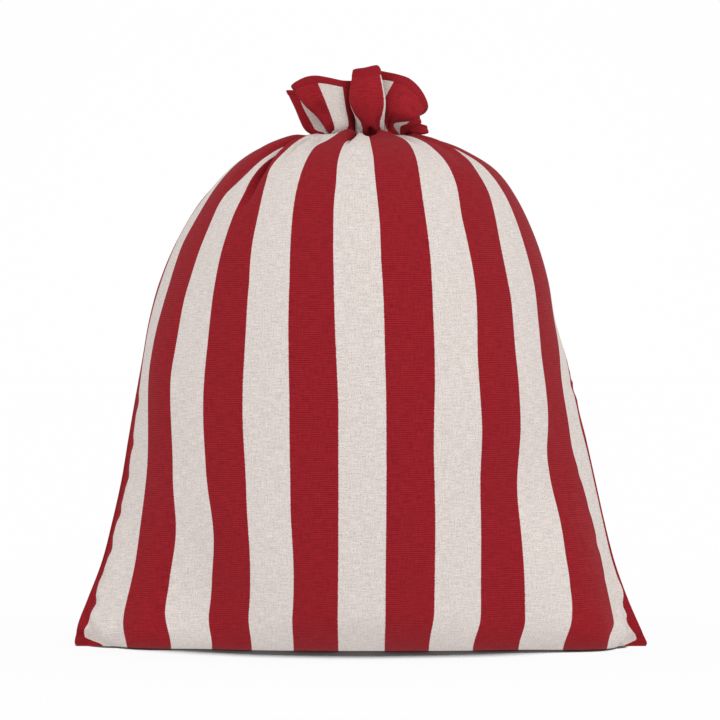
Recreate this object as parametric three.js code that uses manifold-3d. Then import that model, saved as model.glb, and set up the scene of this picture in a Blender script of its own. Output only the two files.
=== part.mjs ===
// A standing santa sack of striped canvas, filled out and drawn in at the neck.
// Two panels are sewn together at the sides and the bottom, and a strip binds the mouth above the ruffle.
// Millimetres, +Z up. The front faces -Y, and the origin is on the floor under the middle of the sack.
import * as THREE from 'three';
import Module from 'manifold-3d';

const wasm = await Module();
wasm.setup();

// Cloth sizes
const panelWidth = 560;
const halfPanel = panelWidth / 2;
const ringLength = 2 * panelWidth;
const clothThick = 1.6;
const seamGap = 0.3;
const bindingThick = 2;
const bindingShare = 0.115;
const bindingGapShare = 0.01;

// Seam edge at the sides, and the rounding along the floor
const flangeHalf = clothThick + 0.1;
const flangeTaper = 3;
const flangeFade = 1.5;
const seamFlat = 2;
const seamFade = 14;
const floorRound = 14;
const floorRoundFade = 30;

// Neck: ridges and valleys of the gathered cloth at its narrowest place
const waistOut = 36;
const waistIn = 16;
const waistFrom = 50;
const waistLeast = 4;
const gatherFrom = 172;
const gatherTo = 46;
const gatherEven = 0.08;
const valleySide = 16;
const valleyDrop = 0.25;
const valleyGrowth = 1.5;
const valleyShape = 1.3;

// Ruffle: where its bend lies between the neck and the mouth, as a share of the way out and up
const flareOut = 0.85;
const flareUp = 0.35;

// Outline of the filled body, from the floor to the neck. left, right and depth are half sizes,
// turn moves the right side of the cloth round to the back, swing moves the front sideways (degrees),
// and flange is the flat seam edge, which is widest at the bottom corners.
const sections = [
  { z: 0, left: 253, right: 253, depth: 98, turn: 0, swing: 0, flange: 14 },
  { z: 20, left: 249, right: 244, depth: 104, turn: 0, swing: 0, flange: 11 },
  { z: 42, left: 240.5, right: 234.5, depth: 113, turn: 0, swing: 0, flange: 6 },
  { z: 75, left: 228, right: 222.8, depth: 126, turn: 0, swing: 0, flange: 4 },
  { z: 110, left: 219, right: 214, depth: 137, turn: 0, swing: 0, flange: 3 },
  { z: 146, left: 211, right: 206, depth: 146, turn: 0, swing: 0, flange: 3 },
  { z: 182, left: 205, right: 198, depth: 153, turn: 0, swing: 0, flange: 2.5 },
  { z: 217, left: 199, right: 190, depth: 158, turn: 0, swing: 0, flange: 1.5 },
  { z: 252, left: 192.7, right: 181, depth: 161, turn: 3, swing: -0.5, flange: 0 },
  { z: 287, left: 186.6, right: 170.7, depth: 161, turn: 7, swing: -1, flange: 0 },
  { z: 322, left: 177, right: 164.5, depth: 157, turn: 9, swing: -1.5, flange: 0 },
  { z: 357, left: 162, right: 154, depth: 148, turn: 8, swing: -2.2, flange: 0 },
  { z: 392, left: 141, right: 138, depth: 133, turn: 5, swing: -3, flange: 0 },
  { z: 418, left: 117.5, right: 119, depth: 115, turn: 1, swing: -2.5, flange: 0 },
  { z: 436, left: 92, right: 94, depth: 92, turn: 0, swing: -1, flange: 0 },
  { z: 446, left: 70, right: 71, depth: 70, turn: 0, swing: 0, flange: 0 },
  { z: 450.5, left: 50, right: 51, depth: 50, turn: 0, swing: 0, flange: 0 },
  { z: 451, left: 36, right: 36, depth: 36, turn: 0, swing: 0, flange: 0 },
];

// Soft swells and dents of the filled cloth. cloth is the place round the sack, in millimetres of cloth
// from the middle of the front, up is the height, wide and tall are half sizes, and out is how far it stands.
const buckles = [
  { cloth: 198, up: 58, wide: 86, tall: 95, out: 22 },
  { cloth: -150, up: 45, wide: 66, tall: 95, out: -15 },
  { cloth: -262, up: 70, wide: 40, tall: 80, out: 6 },
  { cloth: 135, up: 212, wide: 80, tall: 85, out: 9 },
  { cloth: -210, up: 250, wide: 80, tall: 95, out: 7 },
  { cloth: -90, up: 20, wide: 80, tall: 60, out: -5 },
  { cloth: 400, up: 70, wide: 80, tall: 95, out: 12 },
  { cloth: 520, up: 120, wide: 70, tall: 90, out: -9 },
  { cloth: 690, up: 60, wide: 75, tall: 90, out: 13 },
  { cloth: 610, up: 250, wide: 85, tall: 90, out: 2.6 },
];

// Gathers at the neck, one row for each valley: its place on the cloth, its angle round the neck (degrees,
// 0 at the front, 90 at the right), the cloth tucked away each side of it, and the body radius where it ends.
const pleats = [
  { cloth: -249, angle: -103, tuck: 10, dies: 150 },
  { cloth: -150, angle: -57, tuck: 34, dies: 172 },
  { cloth: -14, angle: -10, tuck: 14, dies: 100 },
  { cloth: 83, angle: 40, tuck: 10, dies: 96 },
  { cloth: 166, angle: 78, tuck: 14, dies: 130 },
  { cloth: 249, angle: 120, tuck: 10, dies: 135 },
  { cloth: 335, angle: 142, tuck: 14, dies: 120 },
  { cloth: 430, angle: 162, tuck: 16, dies: 150 },
  { cloth: 515, angle: 182, tuck: 12, dies: 115 },
  { cloth: 605, angle: 201, tuck: 15, dies: 145 },
  { cloth: 690, angle: 220, tuck: 12, dies: 120 },
  { cloth: 785, angle: 240, tuck: 14, dies: 140 },
];

// Edge of the ruffle, one row for each ridge and valley of it: angle round the neck, distance out from it,
// rise above it, and arch, the extra height of its bend where a fold droops over.
const mouth = [
  { cloth: -249, angle: -95, out: 42, rise: 34, arch: 0 },
  { cloth: -207, angle: -83, out: 66, rise: 40, arch: 0 },
  { cloth: -166, angle: -65, out: 46, rise: 34, arch: 0 },
  { cloth: -128, angle: -66, out: 66, rise: 42, arch: 0 },
  { cloth: -100, angle: -42, out: 61, rise: 49, arch: 0 },
  { cloth: -62, angle: -21, out: 46, rise: 46, arch: 0 },
  { cloth: -22, angle: -10, out: 24, rise: 44, arch: 0 },
  { cloth: 14, angle: -8, out: 53, rise: 52, arch: 0 },
  { cloth: 44, angle: 6, out: 60, rise: 55, arch: 0 },
  { cloth: 66, angle: 17, out: 58, rise: 54, arch: 0 },
  { cloth: 83, angle: 21, out: 42, rise: 50, arch: 0 },
  { cloth: 104, angle: 35, out: 56, rise: 47, arch: 0 },
  { cloth: 125, angle: 53, out: 62, rise: 40, arch: 0 },
  { cloth: 144, angle: 66, out: 64, rise: 30, arch: 3 },
  { cloth: 168, angle: 74, out: 50, rise: 19, arch: 5 },
  { cloth: 190, angle: 82, out: 58, rise: 13, arch: 8 },
  { cloth: 212, angle: 93, out: 60, rise: 13, arch: 5 },
  { cloth: 249, angle: 108, out: 48, rise: 24, arch: 0 },
  { cloth: 292, angle: 122, out: 60, rise: 32, arch: 0 },
  { cloth: 335, angle: 140, out: 32, rise: 34, arch: 0 },
  { cloth: 382, angle: 155, out: 60, rise: 44, arch: 0 },
  { cloth: 430, angle: 167, out: 34, rise: 37, arch: 0 },
  { cloth: 472, angle: 177, out: 56, rise: 45, arch: 0 },
  { cloth: 515, angle: 187, out: 34, rise: 39, arch: 0 },
  { cloth: 560, angle: 196, out: 60, rise: 43, arch: 0 },
  { cloth: 605, angle: 206, out: 33, rise: 37, arch: 0 },
  { cloth: 648, angle: 216, out: 58, rise: 46, arch: 0 },
  { cloth: 690, angle: 226, out: 32, rise: 36, arch: 0 },
  { cloth: 738, angle: 237, out: 61, rise: 42, arch: 0 },
  { cloth: 785, angle: 246, out: 38, rise: 34, arch: 0 },
  { cloth: 828, angle: 256, out: 60, rise: 40, arch: 0 },
];

// Mesh lines: where the rows lie between the sections and up the ruffle, and where the columns lie
// between two valleys, beside each side seam and round the tightest folds of the mouth.
const lowRows = [0, 0.1, 0.32, 0.7, 1.3, 2, 3, 4.2, 5.4, 6.6, 7.8];
const highRows = [9, 10, 11, 12, 12.8, 13.5, 14.2, 14.9, 15.5, 16, 17];
const ruffleRows = [0.12, 0.28, 0.5, 0.72, 1 - bindingShare];
const bindingRows = [1 - bindingShare + bindingGapShare, 1 - bindingShare / 2, 1];
const pleatColumns = [0, 0.1, 0.24, 0.4, 0.55, 0.7, 0.84];
const seamColumns = [-14, -8, -3, 0, 3, 8, 14];
const foldColumns = [138, 143, 148, 153, 249, 468, 476];
const leastColumn = 2.4;
const clothStep = 1.5;
const levelStep = 0.02;

const redCloth = '#9b232e';
const creamCloth = '#ddd4ca';

// Helpers for the tables
function catmull(before, from, to, after, share) {
  const linear = to - before;
  const square = 2 * before - 5 * from + 4 * to - after;
  const cube = 3 * from - before - 3 * to + after;
  return 0.5 * (2 * from + linear * share + square * share ** 2 + cube * share ** 3);
}

function clamp01(value) {
  return Math.min(Math.max(value, 0), 1);
}

function hump(share) {
  return 0.5 + 0.5 * Math.cos(Math.PI * clamp01(Math.abs(share)));
}

function radians(degrees) {
  return (degrees * Math.PI) / 180;
}

function sectionAt(place) {
  const last = sections.length - 1;
  const index = Math.min(Math.floor(place), last - 1);
  const from = sections[index];
  const to = sections[index + 1];
  const section = {};
  for (const name of Object.keys(from)) {
    const before = index > 0 ? sections[index - 1][name] : 2 * from[name] - to[name];
    const after = index + 2 <= last ? sections[index + 2][name] : 2 * to[name] - from[name];
    section[name] = catmull(before, from[name], to[name], after, place - index);
  }
  section.flange = Math.max(section.flange, 0);
  section.radius = (section.left + section.right) / 2;
  return section;
}

// The two rows of a closed table between which a place on the cloth lies
function betweenRows(rows, cloth) {
  const count = rows.length;
  const place = cloth < rows[0].cloth ? cloth + ringLength : cloth;
  let index = count - 1;
  while (rows[index].cloth > place) index -= 1;
  const next = (index + 1) % count;
  const end = next === 0 ? rows[0].cloth + ringLength : rows[next].cloth;
  const share = (place - rows[index].cloth) / (end - rows[index].cloth);
  return { index, next, place, end, share };
}

// Angle round the neck, in degrees, once the cloth is fully gathered
function neckAngle(cloth) {
  const { index, next, place, end, share } = betweenRows(pleats, cloth);
  const turn = next === 0 ? 360 : 0;
  const from = pleats[index].cloth + pleats[index].tuck;
  const to = end - pleats[next].tuck;
  const shown = clamp01((place - from) / (to - from));
  const eased = (shown + THREE.MathUtils.smoothstep(shown, 0, 1)) / 2;
  const mixed = THREE.MathUtils.lerp(eased, share, gatherEven);
  const angle = pleats[index].angle + (pleats[next].angle + turn - pleats[index].angle) * mixed;
  return cloth < pleats[0].cloth ? angle - 360 : angle;
}

// How far the valleys draw the cloth in, at a body radius
function valleyDepth(cloth, radius) {
  const { index, next, place, end } = betweenRows(pleats, cloth);
  const one = (pleat, distance) => {
    const grown = clamp01((pleat.dies - radius) / (pleat.dies - waistOut));
    const shape = hump(distance / (pleat.tuck + valleySide)) ** valleyShape;
    return (waistOut - waistIn) * grown ** valleyGrowth * shape;
  };
  return Math.max(one(pleats[index], place - pleats[index].cloth), one(pleats[next], end - place));
}

function buckleOut(cloth, z) {
  let out = 0;
  for (const buckle of buckles) {
    out += buckle.out * hump((cloth - buckle.cloth) / buckle.wide) * hump((z - buckle.up) / buckle.tall);
  }
  return out;
}

// Point of the outer face of the body, from the floor to the neck
function wallPoint(cloth, place) {
  const section = sectionAt(place);
  const flat = (90 * cloth) / halfPanel;
  const moved = section.turn * Math.max(Math.sin(radians(flat)), 0);
  const swung = section.swing * Math.max(Math.cos(radians(flat)), 0);
  const bodyAngle = flat + moved + swung;
  const gathered = clamp01((gatherFrom - section.radius) / (gatherFrom - gatherTo));
  const angle = bodyAngle + (neckAngle(cloth) - bodyAngle) * gathered;

  // Half of a lens: a circular arc from the middle to the flat seam edge
  const round = THREE.MathUtils.euclideanModulo(angle + 90, 360);
  const onFront = round <= 180;
  const across = ((onFront ? round - 90 : 270 - round) * halfPanel) / 90;
  const arc = halfPanel - section.flange;
  const reach = (across < 0 ? section.left : section.right) - section.flange;
  const lens = 2 * Math.atan2(Math.min(section.depth, reach), reach);
  const arcRadius = reach / Math.sin(lens);
  const swept = lens * clamp01(Math.abs(across) / arc);
  const past = Math.max(Math.abs(across) - arc, 0);
  const toSeam = halfPanel - Math.abs(across);
  const push = buckleOut(cloth, section.z) * clamp01((toSeam - seamFlat) / seamFade);
  let x = arcRadius * Math.sin(swept) + past + push * Math.sin(swept);
  let depth = Math.max(arcRadius * (Math.cos(swept) - Math.cos(lens)) + push * Math.cos(swept), 0);

  // Valleys go in square to the body, and straight in at the neck
  const ahead = sectionAt(Math.min(place + levelStep, sections.length - 1));
  const behind = sectionAt(Math.max(place - levelStep, 0));
  const climb = Math.hypot(ahead.z - behind.z, ahead.radius - behind.radius);
  const atWaist = clamp01((waistFrom - section.radius) / (waistFrom - waistOut));
  const inward = THREE.MathUtils.lerp((ahead.z - behind.z) / climb, 1, atWaist);
  const downward = THREE.MathUtils.lerp((behind.radius - ahead.radius) / climb, valleyDrop, atWaist);
  const cut = valleyDepth(cloth, section.radius);
  const distance = Math.hypot(x, depth);
  const kept = distance > 0 ? Math.max(distance - cut * inward, waistLeast) / distance : 1;
  x *= kept;
  depth *= kept;

  // The wall rolls in where it meets the floor
  const low = clamp01(1 - section.z / floorRound);
  depth -= floorRound * (1 - Math.sqrt(1 - low * low)) * clamp01(depth / floorRoundFade);
  const edge = flangeHalf * clamp01(section.flange / flangeFade) * clamp01(toSeam / flangeTaper);
  const y = (onFront ? -1 : 1) * (depth + edge);
  return new THREE.Vector3(Math.sign(across) * x, y, section.z - cut * downward);
}

// Edge of the ruffle as distance, angle and rise, on a smooth closed curve through the rows
function mouthAt(cloth) {
  const count = mouth.length;
  const { index, next, share } = betweenRows(mouth, cloth);
  const around = [(index + count - 1) % count, index, next, (next + 1) % count];
  const values = {};
  for (const name of ['out', 'rise', 'arch']) {
    const [before, from, to, after] = around.map((row) => mouth[row][name]);
    values[name] = catmull(before, from, to, after, share);
  }
  const home = mouth[index].angle;
  const halfTurn = (row) => THREE.MathUtils.euclideanModulo(mouth[row].angle - home + 180, 360) - 180;
  const near = around.map((row) => home + halfTurn(row));
  values.angle = radians(catmull(...near, share));
  return values;
}

// Point of the ruffle, from the neck (share 0) to the mouth (share 1)
function rufflePoint(cloth, share) {
  const base = wallPoint(cloth, sections.length - 1);
  const edge = mouthAt(cloth);
  const sideways = new THREE.Vector2(edge.out * Math.sin(edge.angle), -edge.out * Math.cos(edge.angle));
  const end = new THREE.Vector3(sideways.x, sideways.y, sections[sections.length - 1].z + edge.rise);
  const bend = base.clone().lerp(end, flareOut);
  bend.z = THREE.MathUtils.lerp(base.z, end.z, flareUp) + edge.arch;
  return new THREE.QuadraticBezierCurve3(base, bend, end).getPoint(share);
}

function clothColumns() {
  const places = [];
  for (const seam of [-halfPanel, halfPanel]) {
    for (const offset of seamColumns) places.push((seam + offset + ringLength) % ringLength);
  }
  places.push(...foldColumns);
  pleats.forEach((pleat, index) => {
    const next = index + 1 < pleats.length ? pleats[index + 1].cloth : pleats[0].cloth + ringLength;
    for (const share of pleatColumns) {
      const place = (pleat.cloth + (next - pleat.cloth) * share + ringLength) % ringLength;
      if (places.every((other) => Math.abs(other - place) > leastColumn)) places.push(place);
    }
  });
  const shifted = places.map((place) => (place >= ringLength - halfPanel ? place - ringLength : place));
  return shifted.sort((a, b) => a - b);
}

const columns = clothColumns();

// Point of the outer face at a level: the sections count up to the neck, then the share of the ruffle
function clothPoint(cloth, level) {
  const neck = sections.length - 1;
  return level > neck ? rufflePoint(cloth, level - neck) : wallPoint(cloth, level);
}

// Outward normal there, level with the floor on the lowest row
function clothNormal(cloth, level) {
  const lower = Math.max(level - levelStep, 0);
  const upward = clothPoint(cloth, level + levelStep).sub(clothPoint(cloth, lower));
  const along = clothPoint(cloth + clothStep, level).sub(clothPoint(cloth - clothStep, level));
  const normal = along.cross(upward);
  if (level === 0) normal.setZ(0);
  return normal.normalize();
}

const neckLevel = sections.length - 1;
const panelLevels = [...lowRows, ...highRows, ...ruffleRows.map((share) => neckLevel + share)];
const bindingLevels = bindingRows.map((share) => neckLevel + share);

// Rings of points on the cloth, one for each level, moved outwards along the normals
function clothRings(levels, distance) {
  return levels.map((level) => columns.map((cloth) => (
    clothPoint(cloth, level).addScaledVector(clothNormal(cloth, level), distance)
  )));
}

function gridFaces(rowCount, first, outward) {
  const count = columns.length;
  const faces = [];
  for (let row = 0; row + 1 < rowCount; row += 1) {
    for (let column = 0; column < count; column += 1) {
      const next = (column + 1) % count;
      const a = first + row * count + column;
      const b = first + row * count + next;
      const c = b + count;
      const d = a + count;
      faces.push(...(outward ? [a, b, c, a, c, d] : [a, c, b, a, d, c]));
    }
  }
  return faces;
}

// Faces between the outer and the inner ring of an edge, which looks up or down
function rimFaces(outer, inner, up) {
  const count = columns.length;
  const faces = [];
  for (let column = 0; column < count; column += 1) {
    const next = (column + 1) % count;
    const [a, b, c, d] = [outer + column, outer + next, inner + next, inner + column];
    faces.push(...(up ? [a, b, c, a, c, d] : [a, c, b, a, d, c]));
  }
  return faces;
}

// A flat cap over a closed ring
function capFaces(ring, first, up) {
  const outline = ring.map((point) => new THREE.Vector2(point.x, point.y));
  const faces = [];
  for (const [a, b, c] of THREE.ShapeUtils.triangulateShape(outline, [])) {
    const turn = THREE.ShapeUtils.area([outline[a], outline[b], outline[c]]);
    faces.push(first + a, ...(turn > 0 === up ? [first + b, first + c] : [first + c, first + b]));
  }
  return faces;
}

function solidFrom(points, faces) {
  const vertProperties = new Float32Array(points.flatMap((point) => [point.x, point.y, point.z]));
  return new wasm.Manifold(new wasm.Mesh({ numProp: 3, vertProperties, triVerts: new Uint32Array(faces) }));
}

// The whole bag as one shell, closed at the floor and open at the mouth
function bagSolid() {
  const rowCount = panelLevels.length;
  const outer = clothRings(panelLevels, 0);
  const inner = clothRings(panelLevels, -clothThick);
  inner[0].forEach((point) => point.setZ(clothThick));
  const innerFirst = rowCount * columns.length;
  const topRow = (rowCount - 1) * columns.length;
  const faces = [
    ...gridFaces(rowCount, 0, true),
    ...gridFaces(rowCount, innerFirst, false),
    ...rimFaces(topRow, innerFirst + topRow, true),
    ...capFaces(outer[0], 0, false),
    ...capFaces(inner[0], innerFirst, true),
  ];
  return solidFrom([...outer.flat(), ...inner.flat()], faces);
}

// The binding goes on from the edge of the cloth, a little thicker on both faces
function bindingSolid() {
  const rowCount = bindingLevels.length;
  const proud = (bindingThick - clothThick) / 2;
  const outer = clothRings(bindingLevels, proud);
  const inner = clothRings(bindingLevels, proud - bindingThick);
  const innerFirst = rowCount * columns.length;
  const topRow = (rowCount - 1) * columns.length;
  const faces = [
    ...gridFaces(rowCount, 0, true),
    ...gridFaces(rowCount, innerFirst, false),
    ...rimFaces(topRow, innerFirst + topRow, true),
    ...rimFaces(0, innerFirst, false),
  ];
  return solidFrom([...outer.flat(), ...inner.flat()], faces);
}

function meshFrom(name, solid, colour) {
  const { vertProperties, triVerts } = solid.getMesh();
  const geometry = new THREE.BufferGeometry();
  geometry.setAttribute('position', new THREE.BufferAttribute(new Float32Array(vertProperties), 3));
  geometry.setIndex(new THREE.BufferAttribute(new Uint32Array(triVerts), 1));
  geometry.computeVertexNormals();
  const material = new THREE.MeshStandardMaterial({ color: colour, roughness: 0.9, metalness: 0 });
  const mesh = new THREE.Mesh(geometry, material);
  mesh.name = name;
  return mesh;
}

// The panels part along the side seams and the bottom seam
const bag = bagSolid();
const sack = new THREE.Group();
sack.add(meshFrom('front_panel', bag.trimByPlane([0, -1, 0], seamGap / 2), creamCloth));
sack.add(meshFrom('back_panel', bag.trimByPlane([0, 1, 0], seamGap / 2), creamCloth));
sack.add(meshFrom('mouth_binding', bindingSolid(), redCloth));

export default sack;
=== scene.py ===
import math

import bpy
import numpy as np
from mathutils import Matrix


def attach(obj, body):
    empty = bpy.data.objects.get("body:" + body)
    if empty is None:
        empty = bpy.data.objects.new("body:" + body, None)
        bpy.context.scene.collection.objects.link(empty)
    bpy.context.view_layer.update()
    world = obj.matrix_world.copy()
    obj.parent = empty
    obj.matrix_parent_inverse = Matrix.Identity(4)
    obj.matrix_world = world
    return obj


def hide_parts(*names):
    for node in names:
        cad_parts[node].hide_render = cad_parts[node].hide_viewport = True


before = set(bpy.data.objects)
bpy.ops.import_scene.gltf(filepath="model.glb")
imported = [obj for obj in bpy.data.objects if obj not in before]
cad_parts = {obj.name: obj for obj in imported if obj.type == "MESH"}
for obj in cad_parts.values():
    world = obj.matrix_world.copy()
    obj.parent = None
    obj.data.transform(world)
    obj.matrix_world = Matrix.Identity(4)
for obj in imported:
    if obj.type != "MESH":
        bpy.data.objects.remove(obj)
scene = bpy.context.scene
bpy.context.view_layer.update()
print("frame loaded:", sorted(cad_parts))

# The sack is worked out in millimetres, as the part is, and becomes metres when a mesh is made
mm = 0.001
halfPanel = 280.0
ringLength = 4 * halfPanel
sharpFrom = 70.0                           # degrees between faces that still shade as one
tiny = 1e-9                                # keeps a division safe


def tableOf(columns, rows):
    return {name: np.array([row[i] for row in rows], float) for i, name in enumerate(columns.split())}


# Outline of the filled body from the floor to the neck, in half sizes. Turn and swing carry the cloth round
# the right side and the front, in degrees, and flange is the width of the flat seam edge
sections = tableOf("z left right depth turn swing flange", [
    (0, 253, 253, 98, 0, 0, 14),
    (20, 249, 244, 104, 0, 0, 11),
    (42, 240.5, 234.5, 113, 0, 0, 6),
    (75, 228, 222.8, 126, 0, 0, 4),
    (110, 219, 214, 137, 0, 0, 3),
    (146, 211, 206, 146, 0, 0, 3),
    (182, 205, 198, 153, 0, 0, 2.5),
    (217, 199, 190, 158, 0, 0, 1.5),
    (252, 192.7, 181, 161, 3, -0.5, 0),
    (287, 186.6, 170.7, 161, 7, -1, 0),
    (322, 177, 164.5, 157, 9, -1.5, 0),
    (357, 162, 154, 148, 8, -2.2, 0),
    (392, 141, 138, 133, 5, -3, 0),
    (418, 117.5, 119, 115, 1, -2.5, 0),
    (435, 94.5, 92.5, 92, 0, -1, 0),
    (444, 72, 70, 70, 0, 0, 0),
    (448, 52, 51, 50, 0, 0, 0),
    (448.5, 42, 37, 36, 0, 0, 0),
])
neckLevel = len(sections["z"]) - 1

# Swells and dents of the filled cloth: place round the sack, height, half sizes, and how far it stands out
buckles = tableOf("cloth up wide tall out", [
    (198, 58, 86, 95, 22),
    (-150, 45, 66, 95, -15),
    (-262, 70, 40, 80, 6),
    (135, 212, 80, 85, 9),
    (-210, 250, 80, 95, 7),
    (-90, 20, 80, 60, -5),
    (202, 0, 62, 58, 24),
    (-195, 2, 62, 50, 13),
    (0, 0, 150, 36, -13),
    (400, 70, 80, 95, 12),
    (520, 120, 70, 90, -9),
    (690, 60, 75, 90, 13),
    (610, 250, 85, 90, 2.6),
])

# How far the pull of the cloth carries the stripes across it, in soft patches like the swells
drift = tableOf("cloth up wide tall out", [
    (-118, 400, 62, 85, 6.5),
    (-172, 440, 40, 60, 36),
    (-228, 402, 40, 55, 20),
    (-268, 320, 24, 120, 10),
    (-258, 402, 20, 50, 20),
    (-242, 421, 30, 34, 24),
    (-162, 443, 16, 24, 4),
    (-142, 424, 20, 34, -8),
    (-104, 441, 20, 30, 12),
    (-58, 447, 34, 14, 14),
    (-195, 390, 60, 130, 9.5),
    (-225, 285, 35, 60, 5),
    (-140, 215, 100, 75, -4.5),
    (-160, 110, 75, 50, 7),
    (-85, 65, 65, 70, 4),
    (-150, 0, 120, 36, 8),
    (-18, 446, 32, 48, -16),
    (25, 447, 30, 25, -10),
    (22, 385, 40, 60, 3.5),
    (110, 410, 30, 45, 5),
    (178, 424, 40, 36, -6),
    (150, 424, 24, 30, -6),
    (250, 330, 46, 120, 17),
    (222, 306, 36, 80, 8),
    (268, 262, 20, 56, -10),
    (238, 118, 30, 70, 20),
    (0, 170, 70, 230, 1.4),
    (150, 0, 90, 30, -7),
    (85, 0, 60, 40, -5),
    (202, 0, 60, 52, -15),
    (228, -4, 30, 26, -8),
    (-198, 0, 55, 48, 14),
    (-104, 388, 26, 40, 3),
    (-185, 375, 30, 40, 3),
    (-185, 272, 30, 45, 3.5),
    (150, 345, 75, 60, -7),
    (62, 235, 45, 70, 3),
    (130, 205, 60, 60, 3),
    (105, 95, 95, 170, 6.3),
    (195, 212, 45, 50, 9),
    (190, 130, 45, 55, 7),
    (230, 205, 35, 45, 7),
    (238, 80, 40, 160, 17),
    (234, 8, 32, 20, -9),
    (272, 48, 22, 16, 5),       # right seam
    (272, 70, 22, 45, 10),
    (272, 115, 22, 45, 11),
    (272, 160, 22, 45, 11),
    (272, 205, 22, 45, 8),
    (-268, 84, 20, 16, 7),      # left corner
    (-268, 58, 20, 16, -6),
    (-268, 32, 18, 12, 3),
    (-268, 13, 18, 9, -4),
    (-262, -2, 45, 10, 26),
    (268, 29, 16, 7, 3),        # right corner
    (268, 21, 16, 6, -3),
    (268, 9, 16, 7, 3),
    (262, -2, 45, 8, -26),
    (372, 392, 60, 80, 7),      # back
    (430, 255, 75, 95, -6),
    (455, 90, 80, 90, 6),
    (540, 395, 50, 70, -5),
    (575, 210, 85, 90, 5),
    (640, 372, 60, 85, 6),
    (665, 95, 80, 95, -6),
    (725, 270, 70, 90, 5),
    (770, 405, 45, 60, -6),
])

# Valleys of the gathers at the neck: place on the cloth, angle, cloth tucked away, radius where it ends
pleats = tableOf("cloth angle tuck dies", [
    (-249, -103, 10, 150),
    (-128, -54, 26, 165),
    (-20, -9, 10, 100),
    (20, 6, 8, 70),
    (83, 40, 10, 96),
    (166, 78, 14, 130),
    (249, 120, 10, 135),
    (335, 142, 14, 120),
    (430, 162, 16, 150),
    (515, 182, 12, 115),
    (605, 201, 15, 145),
    (690, 220, 12, 120),
    (785, 240, 14, 140),
])

# Folds of the ruffle, one line of the cloth a row: where it leaves the neck, at half height, and at the
# mouth, each as the distance across (to the right), towards the front, and up from the neck
ruffle = tableOf(
    "cloth lowAcross lowFront lowUp midAcross midFront midUp edgeAcross edgeFront edgeUp", [
        (-249, -39, -10, 8, -43, -10, 20, -45, -8, 34),
        (-207, -50.5, 2, 6.5, -58.6, 4, 25, -65.2, 4, 38.7),
        (-187, -42, 7.4, 8, -51, 10, 24.5, -56, 12, 38.5),
        (-166, -30, 10, 8, -38, 14, 24.5, -40, 16, 37.5),
        (-150, -24, 12, 6, -40, 20, 23.5, -48, 22, 39.5),
        (-138, -34.5, 21, 9, -51.5, 29, 27.5, -60.8, 29, 41.3),
        (-125, -31, 27, 4.5, -43.6, 33.5, 24.5, -50.7, 36, 47.7),
        (-104, -23.5, 34, 5, -29.8, 37.5, 24.5, -40.2, 40.5, 49.5),
        (-83, -17, 36.5, 6, -22, 39, 24.5, -29.7, 41.5, 48.1),
        (-62, -11.2, 35, 7, -13.7, 37, 24, -16.7, 40, 45.4),
        (-45, -9, 29, 7, -10.6, 30, 23.5, -8, 32, 45.5),
        (-20, -5, 20, 8, -3, 21, 23.5, -2, 22, 46.5),
        (6, -4.5, 30, 8, -5, 36, 26, -3, 36, 50),
        (22, -0.6, 39, 8, -10.3, 46.5, 28.5, -7, 47.5, 54.2),
        (41, 7, 46, 8, 4.2, 55, 29.5, 3.3, 55, 55.5),
        (60, 14.8, 42, 8, 18, 49, 28, 13.7, 51.5, 57.8),
        (68, 20, 36, 8, 21, 44, 27.5, 16.5, 48, 55.5),
        (84, 16, 24, 8, 14, 27, 26.5, 17, 30, 54.5),
        (104, 21, 28, 8, 19, 34, 26.5, 31, 32, 51.5),
        (113, 24, 29, 8.5, 27, 44, 22.5, 42, 32, 47.8),
        (125, 26.5, 28, 9, 39, 45, 17, 51.5, 34, 38.5),
        (135, 28, 25, 9.5, 46, 40, 12.5, 57.4, 33, 27),
        (144, 28.5, 22, 9.5, 43, 30, 12, 56.8, 27, 20.5),
        (158, 29.5, 20, 9, 33, 23, 11, 50, 22, 16.5),
        (180, 31, 17, 8.5, 31.5, 16, 11, 41, 15, 15.5),
        (195, 39, 10, 6, 52, 9, 10.5, 51, 5, 17.5),
        (207, 42, 5, 5, 44, 3, 8.5, 46, 0, 13),
        (220, 47, 1, 1.2, 58.5, 2, 2.8, 57.5, -3, 9),
        (238, 44, -7, 2, 53, -8, 4, 53, -11, 10.5),
        (252, 38, -12, 6, 42, -14, 9.5, 47, -15, 16.5),
        (280, 34, -20, 8, 42, -20, 16.5, 46, -22, 29.5),
        (300, 36, -25, 8, 45, -30, 20, 50, -33, 34),
        (335, 19, -23, 8, 18, -21, 19, 15, -16, 35.5),
        (382, 19, -40, 8, 23, -49, 22, 26, -57, 44.5),
        (430, 7, -29, 8, 6, -27, 20, 5, -19, 38.5),
        (472, 2, -42, 8, 3, -52, 22, 3, -60, 46.5),
        (515, -4, -30, 8, -3, -28, 20, -3, -20, 40.5),
        (560, -12, -42, 8, -15, -52, 22, -17, -60, 45.5),
        (605, -13, -27, 8, -12, -25, 20, -8, -18, 38.5),
        (648, -25, -35, 8, -31, -43, 22, -36, -49, 47.5),
        (690, -22, -21, 8, -20, -19, 20, -14, -13, 37.5),
        (738, -37, -24, 8, -45, -29, 22, -53, -34, 43.5),
        (785, -28, -13, 8, -26, -12, 20, -20, -9, 35.5),
        (828, -41, -10, 8, -50, -13, 22, -56, -14, 40.5),
    ])

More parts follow.
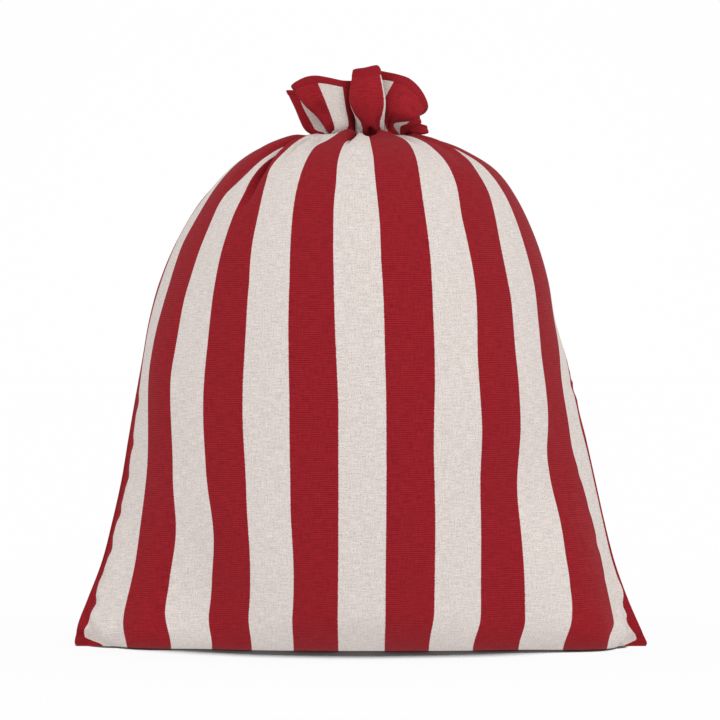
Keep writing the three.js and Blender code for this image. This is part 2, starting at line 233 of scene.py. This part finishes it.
# Soft creases laid on the cloth by the neck, each from one place to another: across the cloth, along it
# from the neck, the rise there (a trough is negative), and the half width
neckCreases = tableOf("cloth up rise clothEnd upEnd riseEnd wide", [
    (-190, -120, 0.5, -182, -30, 2.5, 16),
    (-168, -112, -1.0, -158, -20, -8.0, 11),
    (-130, -135, -2.0, -126, -72, -16.0, 15),
    (-126, -72, 0.0, -124, -20, -9.0, 13),
    (-102, -100, 1.0, -100, -15, 4.0, 11),
    (-92, -88, -1.0, -86, -34, -7.5, 10),
    (-70, -72, -0.8, -68, -30, -6.5, 9),
    (-48, -34, 1.0, -40, -7, 5.0, 20),
    (2, -30, 0.6, 2, -2, 2.4, 9),
    (50, -12, 3.6, 62, -13, 1.4, 11),
    (38, -14, -2.5, 40, 4, -6.0, 9),
    (26, -35, -2.6, 54, -33, -1.0, 12),
    (100, -70, -0.8, 92, -10, -2.2, 9),
    (126, -80, -1.0, 120, -14, -2.4, 10),
    (152, -95, -1.2, 138, -16, -6.0, 8),
    (138, -85, 0.5, 128, -18, 2.0, 7),
    (22, 4, -1.5, 24, 16, -2.5, 7),             # ruffle
    (60, 4, -1.5, 58, 16, -2.5, 7),
    (-132, 20, -3.0, -114, 27, -6.0, 11),
    (-118, 8, -1.5, -112, 14, -3.5, 10),
    (116, 30, -2.0, 113, 10, -3.5, 8),
    (322, -118, -1.0, 334, -40, -4.0, 12),      # back
    (372, -96, 0.8, 380, -18, 3.0, 12),
    (418, -150, -1.5, 430, -55, -7.0, 15),
    (462, -110, -0.8, 470, -34, -4.0, 10),
    (500, -84, 0.6, 492, -16, 3.2, 11),
    (524, -132, -1.2, 516, -44, -5.0, 13),
    (566, -90, 0.8, 560, -20, 3.0, 12),
    (618, -158, -1.6, 606, -55, -8.0, 16),
    (656, -100, 0.8, 648, -18, 3.4, 11),
    (702, -120, -1.0, 690, -42, -4.5, 12),
    (748, -92, 0.8, 738, -18, 2.8, 11),
    (796, -135, -1.2, 786, -45, -5.5, 13),
])

# Tucks at the corners and puckers of the side seams, in the same way but by height above the floor
seamTucks = tableOf("cloth up rise clothEnd upEnd riseEnd wide", [
    (-272, 12, -0.5, -238, 0, -2.0, 7),
    (-258, 27, 5.0, -243, 15, 6.0, 16),
    (-268, 40, -2.0, -252, 26, -1.2, 7),
    (272, 10, -0.5, 238, -1, -2.0, 7),
    (258, 22, 5.0, 244, 12, 6.0, 15),
    (264, 25, -1.6, 254, 23, -1.0, 6),
    (270, 42, -1.4, 252, 38, -0.6, 7),
    (-270, 62, -1.8, -244, 54, -0.6, 8),
    (-270, 88, -1.5, -246, 84, -0.5, 9),
    (-270, 117, -1.7, -240, 110, -0.5, 9),
    (-270, 149, -1.3, -244, 146, -0.4, 10),
    (-270, 178, -1.5, -246, 170, -0.5, 9),
    (-270, 214, -1.2, -244, 210, -0.4, 11),
    (270, 66, -1.6, 248, 60, -0.6, 8),
    (270, 96, -1.9, 240, 88, -0.5, 9),
    (270, 124, -1.3, 250, 121, -0.4, 9),
    (270, 158, -1.7, 242, 150, -0.5, 10),
    (270, 196, -1.4, 246, 192, -0.4, 10),
    (270, 228, -1.2, 246, 222, -0.4, 11),
    (300, 26, 4.0, 318, 16, 5.0, 15),           # back
    (296, 80, 1.8, 322, 74, 0.6, 11),
    (296, 112, 1.6, 316, 108, 0.5, 10),
    (296, 146, 1.9, 320, 138, 0.6, 12),
    (296, 184, 1.6, 318, 180, 0.5, 11),
    (296, 218, 1.4, 314, 212, 0.4, 11),
    (822, 22, 4.0, 802, 14, 5.0, 15),
    (824, 76, 1.8, 800, 70, 0.6, 11),
    (824, 104, 1.5, 804, 100, 0.5, 10),
    (824, 140, 1.9, 798, 134, 0.6, 12),
    (824, 178, 1.5, 802, 172, 0.5, 11),
    (824, 208, 1.6, 804, 204, 0.4, 11),
])

# Folds across the flat corners, pushed back through both layers, in the same way but by true place
cornerFolds = tableOf("across up push acrossEnd upEnd pushEnd wide", [
    (-257, 11, 6.0, -245, 10.6, 6.0, 5.2),
    (-239, 8, 5.0, -229, 2, 3.0, 5.2),
    (-254, 3.4, 2.6, -240, 3.2, 2.6, 3),
    (257, 9.4, 6.0, 245, 8.6, 6.0, 5.2),
    (239, 6.5, 5.0, 229, 1, 3.0, 5.2),
    (254, 3, 2.4, 240, 2.8, 2.4, 3),
])

drape = {
    "flangeHalf": 1.7, "flangeTaper": 3.0, "flangeFade": 1.5,      # flat seam edge at the sides
    "seamFlat": 2.0, "seamFade": 14.0,                             # swells die away towards the seam
    "driftFade": 10.0,                                             # drift dies away above the neck
    "tuckFade": 12.0,                                              # creases die away towards the seam
    "floorRound": 28.0, "floorRoundFade": 30.0,                    # roll of the wall onto the floor
    "cornerRound": 4.0, "cornerFrom": 9.0,                         # rounded lower corners of the seam edge
    "waistOut": 36.0, "waistIn": 16.0,                             # radius of the folds at the neck
    "waistFrom": 50.0, "waistLeast": 4.0,
    "gatherFrom": 172.0, "gatherTo": 46.0, "gatherEven": 0.08,     # radius where the gathers start and fill
    "valleySide": 16.0, "valleyDrop": 0.25, "valleyGrowth": 1.5, "valleyShape": 1.3,
    "ruffleKnots": (0, 0.14, 0.5, 1),                              # share of the ruffle at its rings
    "levelStep": 0.02, "fineSteps": 3000,                          # for slopes and lengths up the body
}


def clamp01(value):
    return np.clip(value, 0.0, 1.0)


# 1 in the middle, and softly down to 0 at a share of 1
def hump(share):
    return 0.5 + 0.5 * np.cos(np.pi * clamp01(np.abs(share)))


def smooth(share):
    share = clamp01(share)
    return share * share * (3 - 2 * share)


def mix(a, b, share):
    return a + (b - a) * share


# Smooth curve through four points in a row, between the second and the third
def spline(before, start, end, after, share):
    square = 2 * before - 5 * start + 4 * end - after
    cube = 3 * start - before - 3 * end + after
    return 0.5 * (2 * start + (end - before) * share + square * share ** 2 + cube * share ** 3)


# Outline of the body at any level
def sectionAt(place):
    index = np.minimum(np.floor(place).astype(int), neckLevel - 1)
    found = {}
    for name, column in sections.items():
        full = np.concatenate([[2 * column[0] - column[1]], column, [2 * column[-1] - column[-2]]])
        found[name] = spline(*(full[index + i] for i in range(4)), place - index)
    found["flange"] = np.maximum(found["flange"], 0)
    found["radius"] = (found["left"] + found["right"]) / 2
    return found


# The two rows of a closed table between which a place on the cloth lies
def betweenRows(rowCloth, cloth):
    place = np.where(cloth < rowCloth[0], cloth + ringLength, cloth)
    index = np.searchsorted(rowCloth, place, side="right") - 1
    after = (index + 1) % len(rowCloth)
    end = np.where(after == 0, rowCloth[0] + ringLength, rowCloth[after])
    share = (place - rowCloth[index]) / (end - rowCloth[index])
    return index, after, place, end, share


# Angle round the neck, where the cloth tucked into a valley takes next to no room
def neckAngle(cloth):
    index, after, place, end, share = betweenRows(pleats["cloth"], cloth)
    start = pleats["cloth"][index] + pleats["tuck"][index]
    shown = clamp01((place - start) / (end - pleats["tuck"][after] - start))
    eased = (shown + smooth(shown)) / 2
    angle = pleats["angle"][index]
    turn = np.where(after == 0, 360, 0)
    angle = angle + (pleats["angle"][after] + turn - angle) * mix(eased, share, drape["gatherEven"])
    return np.where(cloth < pleats["cloth"][0], angle - 360, angle)


# How far the valleys draw the cloth in, at a body radius
def valleyDepth(cloth, radius):
    index, after, place, end, _ = betweenRows(pleats["cloth"], cloth)

    def one(row, distance):
        grown = clamp01((pleats["dies"][row] - radius) / (pleats["dies"][row] - drape["waistOut"]))
        shape = hump(distance / (pleats["tuck"][row] + drape["valleySide"])) ** drape["valleyShape"]
        return (drape["waistOut"] - drape["waistIn"]) * grown ** drape["valleyGrowth"] * shape

    return np.maximum(one(index, place - pleats["cloth"][index]), one(after, end - place))


# Sum of the soft patches of a table
def humpsAt(table, cloth, z):
    total = 0
    for row in range(len(table["out"])):
        across = hump((cloth - table["cloth"][row]) / table["wide"][row])
        total = total + table["out"][row] * across * hump((z - table["up"][row]) / table["tall"][row])
    return total


# Outer face of the body, from the floor to the neck
def wallPoint(cloth, place):
    section = sectionAt(place)
    flat = np.radians(90 * cloth / halfPanel)
    moved = section["turn"] * np.maximum(np.sin(flat), 0) + section["swing"] * np.maximum(np.cos(flat), 0)
    bodyAngle = np.degrees(flat) + moved
    gatherRun = drape["gatherFrom"] - drape["gatherTo"]
    gathered = clamp01((drape["gatherFrom"] - section["radius"]) / gatherRun)
    around = np.mod(mix(bodyAngle, neckAngle(cloth), gathered) + 90, 360)

    # Half of a lens: a circular arc from the middle to the flat seam edge
    onFront = around <= 180
    across = np.where(onFront, around - 90, 270 - around) * halfPanel / 90
    arc = halfPanel - section["flange"]
    reach = np.where(across < 0, section["left"], section["right"]) - section["flange"]
    lens = 2 * np.arctan2(np.minimum(section["depth"], reach), reach)
    arcRadius = reach / np.sin(lens)
    swept = lens * clamp01(np.abs(across) / arc)
    past = np.maximum(np.abs(across) - arc, 0)
    toSeam = halfPanel - np.abs(across)
    push = humpsAt(buckles, cloth, section["z"]) * clamp01((toSeam - drape["seamFlat"]) / drape["seamFade"])
    x = (arcRadius + push) * np.sin(swept) + past
    depth = np.maximum(arcRadius * (np.cos(swept) - np.cos(lens)) + push * np.cos(swept), 0)

    # Valleys go in square to the body, and straight in at the neck
    ahead = sectionAt(np.minimum(place + drape["levelStep"], neckLevel))
    behind = sectionAt(np.maximum(place - drape["levelStep"], 0))
    climb = np.hypot(ahead["z"] - behind["z"], ahead["radius"] - behind["radius"])
    atWaist = clamp01((drape["waistFrom"] - section["radius"]) / (drape["waistFrom"] - drape["waistOut"]))
    inward = mix((ahead["z"] - behind["z"]) / climb, 1, atWaist)
    downward = mix((behind["radius"] - ahead["radius"]) / climb, drape["valleyDrop"], atWaist)
    cut = valleyDepth(cloth, section["radius"])
    distance = np.maximum(np.hypot(x, depth), tiny)
    kept = np.maximum(distance - cut * inward, drape["waistLeast"]) / distance
    x = x * kept
    depth = depth * kept

    # The wall rolls in where it meets the floor
    low = clamp01(1 - section["z"] / drape["floorRound"])
    roll = drape["floorRound"] * (1 - np.sqrt(1 - low * low))
    depth = depth - roll * clamp01(depth / drape["floorRoundFade"])
    edge = drape["flangeHalf"] * clamp01(section["flange"] / drape["flangeFade"])
    y = depth + edge * clamp01(toSeam / drape["flangeTaper"])
    tip = clamp01(1 - section["z"] / drape["cornerRound"]) * clamp01(1 - toSeam / drape["cornerFrom"])
    x = x - drape["cornerRound"] * (1 - np.sqrt(1 - tip * tip))
    z = section["z"] - cut * downward
    return np.stack(np.broadcast_arrays(np.sign(across) * x, np.where(onFront, -y, y), z), -1)


# One ring of the ruffle at any place on the cloth
def ruffleRing(name, cloth):
    count = len(ruffle["cloth"])
    index, after, _, _, share = betweenRows(ruffle["cloth"], cloth)
    four = [(index + count - 1) % count, index, after, (after + 1) % count]
    columns = [ruffle[name + way] for way in ("Across", "Front", "Up")]
    across, front, up = (spline(*(column[row] for row in four), share) for column in columns)
    return np.stack([across, -front, sections["z"][-1] + up], -1)


# Ruffle from the neck (share 0) to the mouth (share 1)
def rufflePoint(cloth, shares):
    rings = [wallPoint(cloth, np.full_like(cloth, float(neckLevel)))]
    rings += [ruffleRing(name, cloth) for name in ("low", "mid", "edge")]
    rings = [2 * rings[0] - rings[1]] + rings + [2 * rings[-1] - rings[-2]]
    knots = drape["ruffleKnots"]
    rows = []
    for place in np.interp(shares, knots, range(len(knots))):
        index = min(int(place), len(knots) - 2)
        rows.append(spline(*rings[index:index + 4], place - index))
    return np.array(rows)


# Grid of points on the outer face: levels count the sections up to the neck, then the share of the ruffle
def clothGrid(cloth, levels):
    wall = levels[levels <= neckLevel]
    shares = levels[levels > neckLevel] - neckLevel
    grid = rufflePoint(cloth, shares)
    if len(wall):
        grid = np.concatenate([wallPoint(cloth[None, :], wall[:, None]), grid])
    return grid


# Directions that stand square to the cloth, outwards
def gridNormals(points):
    normals = np.cross(np.gradient(points, axis=1), np.gradient(points, axis=0))
    return normals / np.maximum(np.linalg.norm(normals, axis=-1, keepdims=True), tiny)


# Levels a given distance apart up the middle of the front
def evenLevels(spacing):
    fine = np.linspace(0, neckLevel, drape["fineSteps"])
    points = wallPoint(np.zeros_like(fine), fine)
    length = np.concatenate([[0], np.cumsum(np.linalg.norm(np.diff(points, axis=0), axis=1))])
    return np.interp(np.linspace(0, length[-1], int(length[-1] / spacing)), length, fine)


# Length along each line of a grid from its lowest point
def lengthUp(points):
    steps = np.linalg.norm(np.diff(points, axis=0), axis=-1)
    return np.concatenate([np.zeros((1, points.shape[1])), np.cumsum(steps, axis=0)])


# Height of the creases of a table
def creaseRise(table, cloth, up):
    total = np.zeros_like(up)
    for x, z, rise, xEnd, zEnd, riseEnd, wide in zip(*table.values()):
        run = xEnd - x, zEnd - z
        share = clamp01(((cloth - x) * run[0] + (up - z) * run[1]) / (run[0] ** 2 + run[1] ** 2))
        aside = np.hypot(cloth - x - share * run[0], up - z - share * run[1])
        total = total + mix(rise, riseEnd, share) * hump(aside / wide)
    return total


# A closed thin mesh from two grids of points, one for each face of the cloth
def sheetMesh(name, outer, inner, uv, loop=False):
    rowCount, columnCount = outer.shape[:2]
    points = np.concatenate([outer.reshape(-1, 3), inner.reshape(-1, 3)]) * mm
    index = np.arange(rowCount * columnCount).reshape(rowCount, columnCount)
    if loop:
        index = np.concatenate([index, index[:, :1]], axis=1)
    back = index + rowCount * columnCount

    def quads(a, b, c, d):
        return np.stack([a, b, c, d], -1).reshape(-1, 4)

    faces = [
        quads(index[:-1, :-1], index[:-1, 1:], index[1:, 1:], index[1:, :-1]),
        quads(back[:-1, :-1], back[1:, :-1], back[1:, 1:], back[:-1, 1:]),
        quads(index[0, :-1], back[0, :-1], back[0, 1:], index[0, 1:]),
        quads(index[-1, :-1], index[-1, 1:], back[-1, 1:], back[-1, :-1]),
    ]
    if not loop:
        faces.append(quads(index[:-1, 0], index[1:, 0], back[1:, 0], back[:-1, 0]))
        faces.append(quads(index[:-1, -1], back[:-1, -1], back[1:, -1], index[1:, -1]))
    faces = np.concatenate(faces)
    mesh = bpy.data.meshes.new(name)
    mesh.from_pydata(points.tolist(), [], faces.tolist())
    layer = mesh.uv_layers.new(name="clothPlace")
    places = np.concatenate([uv.reshape(-1, 2), uv.reshape(-1, 2)]) * mm
    layer.data.foreach_set("uv", places[faces.ravel()].astype(np.float32).ravel())
    mesh.shade_smooth()
    mesh.set_sharp_from_angle(angle=math.radians(sharpFrom))
    piece = bpy.data.objects.new(name, mesh)
    scene.collection.objects.link(piece)
    return piece


def newMaterial(name):
    material = bpy.data.materials.new(name)
    material.use_nodes = True
    tree = material.node_tree
    return material, tree, tree.nodes["Principled BSDF"]


# Link a socket to another, or set its value
def put(tree, socket, value):
    if isinstance(value, bpy.types.NodeSocket):
        tree.links.new(value, socket)
    else:
        socket.default_value = value


def maths(tree, operation, *values):
    node = tree.nodes.new("ShaderNodeMath")
    node.operation = operation
    for socket, value in zip(node.inputs, values):
        put(tree, socket, value)
    return node.outputs[0]


# Soft noise on the cloth, in patches of a width and a height in millimetres
def noise(tree, across, along, wide, tall):
    place = tree.nodes.new("ShaderNodeCombineXYZ")
    put(tree, place.inputs["X"], maths(tree, "DIVIDE", across, wide))
    put(tree, place.inputs["Y"], maths(tree, "DIVIDE", along, tall))
    node = tree.nodes.new("ShaderNodeTexNoise")
    node.noise_dimensions = "2D"
    put(tree, node.inputs["Vector"], place.outputs["Vector"])
    put(tree, node.inputs["Scale"], 1.0)
    put(tree, node.inputs["Detail"], 1.0)
    return node.outputs["Fac"]


# Soft step of a value from one range to another
def ramp(tree, value, low, high, toLow=0.0, toHigh=1.0):
    node = tree.nodes.new("ShaderNodeMapRange")
    node.interpolation_type = "SMOOTHSTEP"
    for socket, item in zip(node.inputs, (value, low, high, toLow, toHigh)):
        put(tree, socket, item)
    return node.outputs[0]


def blendColour(tree, share, first, second):
    node = tree.nodes.new("ShaderNodeMix")
    node.data_type = "RGBA"
    put(tree, node.inputs["Factor"], share)
    put(tree, node.inputs["A"], first)
    put(tree, node.inputs["B"], second)
    return node.outputs["Result"]


# Place on the cloth in millimetres, across and along
def clothPlace(tree):
    node = tree.nodes.new("ShaderNodeUVMap")
    node.uv_map = "clothPlace"
    parts = tree.nodes.new("ShaderNodeSeparateXYZ")
    tree.links.new(node.outputs["UV"], parts.inputs[0])
    return [maths(tree, "MULTIPLY", parts.outputs[i], 1 / mm) for i in range(2)]


# Plain weave as a height from 0 in the gaps to 1 on the threads
def weaveHeight(tree, across, along, pitch):
    turn = 2 * math.pi / pitch
    first = maths(tree, "COSINE", maths(tree, "MULTIPLY", across, turn))
    second = maths(tree, "COSINE", maths(tree, "MULTIPLY", along, turn))
    return maths(tree, "MULTIPLY_ADD", maths(tree, "MULTIPLY", first, second), 0.5, 0.5)


canvas = {
    "thick": 1.2,
    "spacing": 3.0,
    "ruffleRows": 26, "ruffleTop": 0.97,   # the cloth ends inside the binding
    "floorRows": 10,
    "seamGap": 0.15, "seamEdge": 1.0,      # the panels lie just clear of each other at the seams
    "stripeHalf": 20.75,
    "edgeStep": 0.9, "edgeSoft": 0.3,      # stripe edges step from thread to thread
    "thread": 0.92,                        # pitch of the plain weave
    "streak": 11.0, "slubHeight": 0.5,     # run of a slub along its thread, and how far it stands up
    "weftTone": 1.1, "warpTone": 0.8, "threadTone": 1.2,
    "toneRange": (1.0, 2.1),
    "fleckSize": (1.1, 1.3), "fleckRange": (0.66, 0.72, 0.0, 0.6),
    "rib": 1.85,                           # every other weft stands out on the red
    "ribPatch": (22.0, 12.0), "ribRange": (0.38, 0.62, 0.06, 0.6),
    "ribFade": (-25.0, 8.0, 1.0, 0.15),    # ribs fade out towards the ruffle
    # painted light: the ruffle's red is made lighter than the body's to make up for the shade its flared
    # lobes lie in
    "rufflePaintedLight": (0.0, 25.0, 0.0, 0.27),  # lighter red on the ruffle
    "redTone": 0.9, "redRange": (-0.42, 1.38),
    "creamLight": (0.735, 0.66, 0.625, 1),
    "creamDark": (0.56, 0.50, 0.47, 1),
    "fleck": (0.27, 0.23, 0.20, 1),
    "redLight": (0.335, 0.0158, 0.0238, 1),
    "redDark": (0.178, 0.0055, 0.0100, 1),
    "roughness": 0.94,
    "specular": 0.1,
    "sheen": 0.02,
    "bump": 0.3, "bumpDepth": 0.3,
}


# Matt cloth: how the weave stands up, and what little light it throws back
def setCloth(tree, shader, height):
    bump = tree.nodes.new("ShaderNodeBump")
    bump.inputs["Strength"].default_value = canvas["bump"]
    bump.inputs["Distance"].default_value = canvas["bumpDepth"] * mm
    tree.links.new(height, bump.inputs["Height"])
    tree.links.new(bump.outputs["Normal"], shader.inputs["Normal"])
    shader.inputs["Roughness"].default_value = canvas["roughness"]
    shader.inputs["Specular IOR Level"].default_value = canvas["specular"]
    shader.inputs["Sheen Weight"].default_value = canvas["sheen"]


def canvasMaterial():
    material, tree, shader = newMaterial("stripedCanvas")
    across, along = clothPlace(tree)
    thread, streak = canvas["thread"], canvas["streak"]
    wefts = noise(tree, across, along, streak, thread)
    warps = noise(tree, across, along, thread, streak)
    threads = noise(tree, across, along, thread, thread)

    # Stripe edges step from thread to thread
    half, soft = canvas["stripeHalf"], canvas["edgeSoft"]
    step = maths(tree, "MULTIPLY", maths(tree, "SUBTRACT", threads, 0.5), canvas["edgeStep"])
    fromCream = maths(tree, "PINGPONG", maths(tree, "ADD", across, step), 2 * half)
    redShare = ramp(tree, fromCream, half - soft, half + soft)

    # Uneven yarn, light and dark thread by thread, with flecks in the undyed cloth
    tone = maths(tree, "MULTIPLY", wefts, canvas["weftTone"])
    tone = maths(tree, "MULTIPLY_ADD", warps, canvas["warpTone"], tone)
    tone = maths(tree, "MULTIPLY_ADD", threads, canvas["threadTone"], tone)
    tone = ramp(tree, tone, *canvas["toneRange"])
    flecks = ramp(tree, noise(tree, across, along, *canvas["fleckSize"]), *canvas["fleckRange"])
    cream = blendColour(tree, tone, canvas["creamDark"], canvas["creamLight"])
    cream = blendColour(tree, flecks, cream, canvas["fleck"])

    # Ribs of the red wefts show in patches
    patches = noise(tree, across, along, *canvas["ribPatch"])
    ribs = maths(tree, "SINE", maths(tree, "MULTIPLY", along, 2 * math.pi / canvas["rib"]))
    ribs = maths(tree, "MULTIPLY", ribs, ramp(tree, patches, *canvas["ribRange"]))
    ribs = maths(tree, "MULTIPLY", ribs, ramp(tree, along, *canvas["ribFade"]))
    redTone = maths(tree, "MULTIPLY_ADD", tone, canvas["redTone"], ribs)
    # Painted light: the red grows lighter up the ruffle, standing in for light its shaded lobes miss
    redTone = maths(tree, "ADD", redTone, ramp(tree, along, *canvas["rufflePaintedLight"]))
    red = blendColour(tree, ramp(tree, redTone, *canvas["redRange"]), canvas["redDark"], canvas["redLight"])
    tree.links.new(blendColour(tree, redShare, cream, red), shader.inputs["Base Color"])
    weave = weaveHeight(tree, across, along, thread)
    height = maths(tree, "MULTIPLY_ADD", wefts, canvas["slubHeight"], weave)
    setCloth(tree, shader, height)
    return material


# Outer face of one panel with its half of the bottom, from the bottom seam to just inside the binding
def panelGrid(local, middle):
    shares = np.linspace(0, canvas["ruffleTop"], canvas["ruffleRows"] + 1)[1:]
    levels = np.concatenate([evenLevels(canvas["spacing"]), neckLevel + shares])
    wall = clothGrid(local + middle, levels)
    seamLine = canvas["seamGap"] * (-1 if middle == 0 else 1)
    wall[:, np.abs(local) > halfPanel - canvas["seamEdge"], 1] += seamLine
    keep = np.linspace(0, 1, canvas["floorRows"] + 1)[:-1, None]
    floor = np.repeat(wall[:1], canvas["floorRows"], axis=0)
    floor[..., 1] = mix(seamLine, wall[:1, :, 1], keep)
    floor[..., 2] = 0
    return np.concatenate([floor, wall])


# One panel, creased, with the length of its cloth
def makePanel(name, middle):
    count = int(2 * halfPanel / canvas["spacing"]) + 1
    local = np.linspace(-halfPanel, halfPanel, count)
    cloth = local + middle
    outer = panelGrid(local, middle)
    up = lengthUp(outer)
    up = up - up[-canvas["ruffleRows"] - 1]
    up = np.broadcast_to(up.mean(axis=1, keepdims=True), up.shape)     # the weft runs level

    own = np.abs(drift["cloth"] - middle) <= halfPanel                 # patches that lie on this panel
    ownDrift = {column: values[own] for column, values in drift.items()}
    shift = humpsAt(ownDrift, cloth, outer[..., 2]) * clamp01(1 - up / drape["driftFade"])
    uv = np.stack([local - shift, up], -1)

    rise = creaseRise(neckCreases, cloth, up) + creaseRise(seamTucks, cloth, outer[..., 2])
    rise = rise * smooth((halfPanel - np.abs(local)) / drape["tuckFade"])
    rise[:canvas["floorRows"]] = 0
    outer = outer + gridNormals(outer) * rise[..., None]
    outer[..., 2] = np.maximum(outer[..., 2], 0)
    inner = outer - canvas["thick"] * gridNormals(outer)
    for face in (outer, inner):
        face[..., 1] += creaseRise(cornerFolds, face[..., 0], face[..., 2])
    return sheetMesh(name, outer, inner, uv), float(up[-1, 0] - up[0, 0])


binding = {
    "share": 0.11,                         # of the ruffle that it covers
    "slopeFrom": 0.8,                      # share of the ruffle that gives the slope at its lower edge
    "step": 2.0,
    "thick": 0.38,
    "clear": 0.08,
    "edge": (0.3, 0.8, 1, 1, 1, 1),        # its raw edges lie flatter
    "fold": (45, 90, 135),                 # degrees over the top
    "colour": (0.275, 0.0125, 0.0195, 1),
    "colourDark": (0.23, 0.0095, 0.015, 1),
    "toneRange": (0.3, 0.7),
}


def bindingMaterial():
    material, tree, shader = newMaterial("bindingCloth")
    across, along = clothPlace(tree)
    wefts = noise(tree, across, along, canvas["thread"], canvas["streak"])
    tone = ramp(tree, wefts, *binding["toneRange"])
    colour = blendColour(tree, tone, binding["colourDark"], binding["colour"])
    tree.links.new(colour, shader.inputs["Base Color"])
    setCloth(tree, shader, weaveHeight(tree, across, along, canvas["thread"]))
    return material


# A strip folded over the raw edge of the mouth: down the outside, over the top and down the inside
def makeBinding(name):
    count = int(ringLength / binding["step"])
    cloth = np.linspace(-halfPanel, ringLength - halfPanel, count, endpoint=False)
    shares = np.linspace(1 - binding["share"], 1, len(binding["edge"]))

    # A row below the strip and lines past both ends give true slopes, and are then left out
    past = 2
    closed = np.concatenate([cloth[-past:], cloth, cloth[:past]])
    rows = clothGrid(closed, neckLevel + np.concatenate([[binding["slopeFrom"]], shares]))
    strip = np.s_[1:, past:-past]
    normals = gridNormals(rows)[strip]
    rise = np.gradient(rows, axis=0)[strip]
    rise = rise / np.linalg.norm(rise, axis=-1, keepdims=True)
    rows = rows[strip]
    outside = binding["clear"]
    inside = -canvas["thick"] - binding["clear"]

    def folded(extra):
        middle, half = (outside + inside) / 2, (outside - inside) / 2 + extra
        lines = [rows[i] + normals[i] * (outside + extra * thin) for i, thin in enumerate(binding["edge"])]
        for angle in np.radians(binding["fold"]):
            reach = half * (np.cos(angle) * normals[-1] + np.sin(angle) * rise[-1])
            lines.append(rows[-1] + middle * normals[-1] + reach)
        down = reversed(list(enumerate(binding["edge"])))
        lines += [rows[i] + normals[i] * (inside - extra * thin) for i, thin in down]
        return np.stack(lines)

    outer = folded(binding["thick"])
    inner = folded(0.0)
    up = lengthUp(outer)
    uv = np.stack([np.broadcast_to(cloth, up.shape), up], -1)
    piece = sheetMesh(name, outer, inner, uv, loop=True)
    return piece, float(up[-1].mean())


studio = {
    "cameraBack": 3.5, "cameraUp": 0.2516, "cameraSide": -0.00106, "cameraFar": 200.0,
    "lens": 198.9, "sensor": 36.0,
    "floorHalf": 60.0,
    "floor": (0.12, 0.12, 0.12, 1), "floorRoughness": 0.9, "floorShine": 0.0,
    "floorLight": 22.75, "floorSoftness": 14.0, "floorTilt": 6.0,  # overhead light on the floor alone
    "room": 0.57, "roomColour": (1, 1, 1, 1),
    "glows": (                             # soft bright sides of the room: direction, strength, tightness
        ((0.0, 1.0, 0.0), 0.426, 1.5),
        ((0.1, -0.98, 0.1), 0.86, 4.0),
        ((0.95, -0.3, 0.2), 0.52, 2.0),
        ((-0.95, -0.3, 0.2), 0.57, 4.0),
        ((0.0, -0.1, 1.0), 0.43, 2.0),
        ((0.0, -0.6, -0.8), 0.23, 1.5),
    ),
}


def makeCamera():
    camera = bpy.data.objects.new("photoCamera", bpy.data.cameras.new("photoCamera"))
    camera.data.lens = studio["lens"]
    camera.data.sensor_width = studio["sensor"]
    camera.data.clip_end = studio["cameraFar"]
    camera.location = (studio["cameraSide"], -studio["cameraBack"], studio["cameraUp"])
    camera.rotation_euler = (math.pi / 2, 0, 0)
    scene.collection.objects.link(camera)
    scene.camera = camera
    scene.view_settings.view_transform = "Standard"


def makeFloor():
    half = studio["floorHalf"]
    corners = [(-half, -half, 0), (half, -half, 0), (half, half, 0), (-half, half, 0)]
    mesh = bpy.data.meshes.new("studioFloor")
    mesh.from_pydata(corners, [], [(0, 1, 2, 3)])
    floor = bpy.data.objects.new("studioFloor", mesh)
    scene.collection.objects.link(floor)
    material, _, shader = newMaterial("paleFloor")
    shader.inputs["Base Color"].default_value = studio["floor"]
    shader.inputs["Roughness"].default_value = studio["floorRoughness"]
    shader.inputs["Specular IOR Level"].default_value = studio["floorShine"]
    mesh.materials.append(material)

    # The room's own light reaches the sack from below, as off a white floor
    floor.visible_diffuse = False
    floor.visible_shadow = False
    sun = bpy.data.objects.new("floorLight", bpy.data.lights.new("floorLight", "SUN"))
    sun.data.energy = studio["floorLight"]
    sun.data.angle = math.radians(studio["floorSoftness"])
    sun.rotation_euler = (math.radians(studio["floorTilt"]), 0, 0)
    lit = bpy.data.collections.new("floorOnly")
    lit.objects.link(floor)
    sun.light_linking.receiver_collection = lit
    scene.collection.objects.link(sun)


def makeRoom():
    world = bpy.data.worlds.new("softRoom")
    world.use_nodes = True
    tree = world.node_tree
    direction = tree.nodes.new("ShaderNodeTexCoord").outputs["Generated"]
    glow = studio["room"]
    for toward, strength, tightness in studio["glows"]:
        facing = tree.nodes.new("ShaderNodeVectorMath")
        facing.operation = "DOT_PRODUCT"
        tree.links.new(direction, facing.inputs[0])
        facing.inputs[1].default_value = np.array(toward) / np.linalg.norm(toward)
        lobe = maths(tree, "POWER", maths(tree, "MAXIMUM", facing.outputs["Value"], 0.0), tightness)
        glow = maths(tree, "MULTIPLY_ADD", lobe, strength, glow)
    background = tree.nodes["Background"]
    tree.links.new(glow, background.inputs["Strength"])
    background.inputs["Color"].default_value = studio["roomColour"]
    scene.world = world


stripedCanvas = canvasMaterial()
frontPanel, panelLength = makePanel("frontPanel", 0.0)
backPanel, _ = makePanel("backPanel", 2 * halfPanel)
for panel, node in ((frontPanel, "front_panel"), (backPanel, "back_panel")):
    panel.data.materials.append(stripedCanvas)
    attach(panel, "root")
    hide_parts(node)

mouthBinding, bindingWide = makeBinding("mouthBinding")
mouthBinding.data.materials.append(bindingMaterial())
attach(mouthBinding, "root")
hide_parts("mouth_binding")
print("mouth bound, strip", round(bindingWide, 1), "mm wide")

makeCamera()
makeFloor()
makeRoom()
print("studio set")
